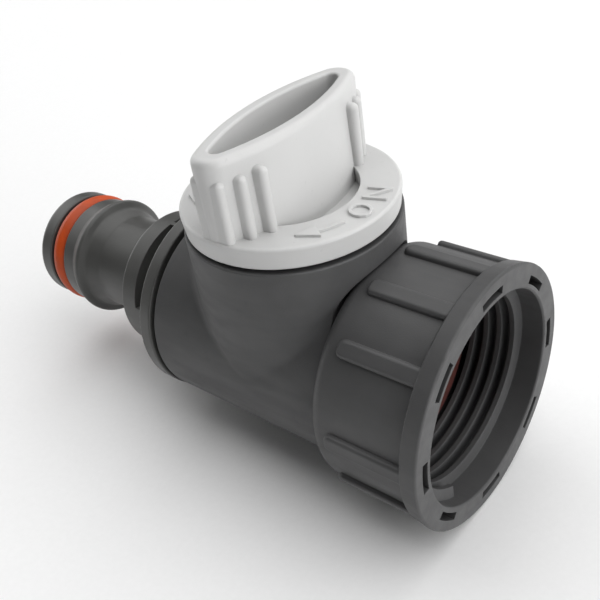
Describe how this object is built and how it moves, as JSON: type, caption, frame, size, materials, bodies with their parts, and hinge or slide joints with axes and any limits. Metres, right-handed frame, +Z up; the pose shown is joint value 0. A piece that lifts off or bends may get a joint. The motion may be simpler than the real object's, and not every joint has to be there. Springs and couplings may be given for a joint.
{
  "type": "hose shut-off valve",
  "caption": "Quarter-turn hose shut-off valve: finger-grip knob over a ball, ribbed swivel inlet nut with internal thread, and a push-fit outlet nipple with an O-ring.",
  "frame": {"origin": "centre of the inlet washer's outer face on the flow axis, where the end of a tap spout seats inside the coupling nut", "axes": "+X along the flow axis out of the inlet nut's mouth, +Z up along the stem axis to the knob, +Y completes the right-handed set"},
  "size_m": [0.0746, 0.0328, 0.0479],
  "materials": {
    "body_plastic": "fine moulded texture, matt",
    "nipple_plastic": "smoother moulded satin",
    "nut_plastic": "fine moulded texture, matt",
    "knob_plastic": "satin off-white",
    "orange_rubber": "smooth",
    "black_rubber": "smooth",
    "washer_rubber": "flat red-brown sheet rubber",
    "seat_plastic": "waxy white low-friction plastic",
    "ball_plastic": "polished",
    "stem_plastic": "turned and moulded, satin",
    "screw_steel": "zinc plated"
  },
  "bodies": {
    "body": {"valve_body": "body_plastic", "outlet_nipple": "nipple_plastic", "nipple_o_ring": "orange_rubber", "end_piece_o_ring": "black_rubber", "inlet_seat": "seat_plastic", "outlet_seat": "seat_plastic", "inlet_seat_o_ring": "black_rubber", "outlet_seat_o_ring": "black_rubber", "inlet_washer": "washer_rubber"},
    "knob": {"knob": "knob_plastic", "knob_screw_washer": "screw_steel", "knob_screw": "screw_steel", "stem": "stem_plastic", "stem_thrust_washer": "seat_plastic", "stem_o_ring_lower": "black_rubber", "stem_o_ring_upper": "black_rubber", "ball": "ball_plastic"},
    "nut": {"coupling_nut": "nut_plastic"}
  },
  "joints": [
    {"name": "knob_turn", "type": "hinge", "parent": "body", "child": "knob", "pos_m": [-0.0162, 0, 0], "axis": [0, 0, 1], "range_deg": [-90, 0]},
    {"name": "nut_spin", "type": "hinge", "parent": "body", "child": "nut", "pos_m": [0, 0, 0], "axis": [1, 0, 0], "continuous": true}
  ]
}
